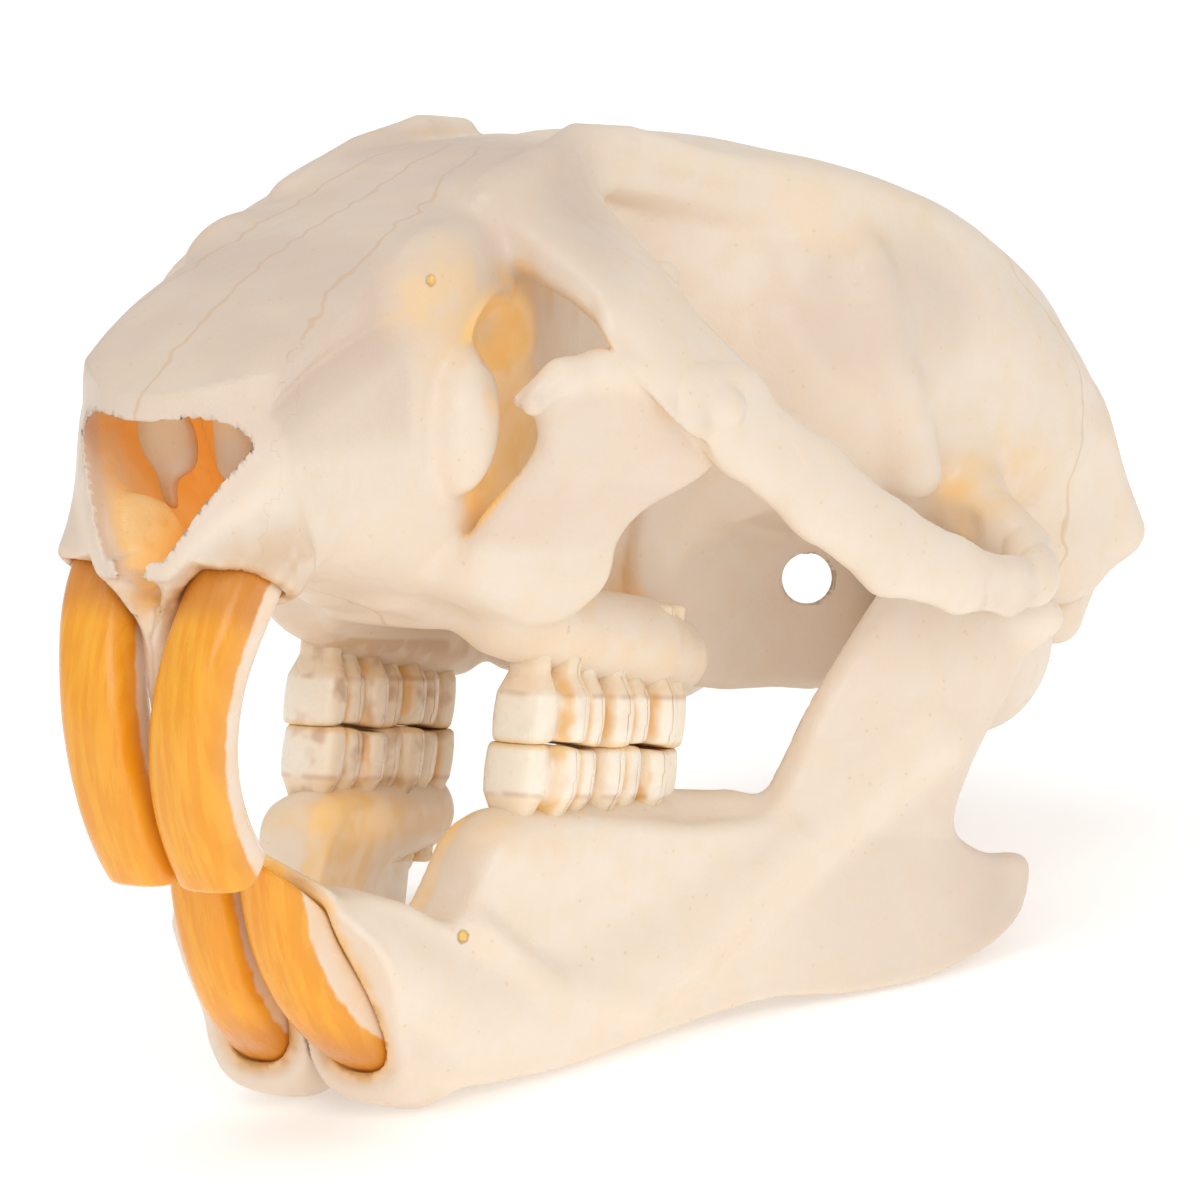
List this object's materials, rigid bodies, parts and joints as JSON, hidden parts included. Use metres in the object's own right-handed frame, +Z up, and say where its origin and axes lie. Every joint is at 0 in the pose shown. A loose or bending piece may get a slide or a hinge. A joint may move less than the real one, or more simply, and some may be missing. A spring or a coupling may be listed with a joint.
{
  "type": "rodent skull",
  "caption": "Life-size cleaned rodent skull with closed jaws, orange incisors, cheek teeth, arches, ear capsules and a hollow braincase.",
  "frame": {"origin": "on the floor under the middle of the resting skull", "axes": "+Z up, -Y towards the snout, +X to the animal's left"},
  "size_m": [0.0206, 0.036, 0.0214],
  "materials": {
    "bone": "dry cleaned bone, satin, ivory with pinkish thin areas",
    "jaw_bone": "dry cleaned bone, satin, ivory",
    "enamel": "glossy orange enamel"
  },
  "bodies": {
    "root": {"cranium": "bone", "jugal_left": "bone", "jugal_right": "bone", "bulla_left": "bone", "bulla_right": "bone", "mandible_left": "jaw_bone", "mandible_right": "jaw_bone", "incisor_upper_left": "enamel", "incisor_upper_right": "enamel", "incisor_lower_left": "enamel", "incisor_lower_right": "enamel"}
  },
  "joints": []
}
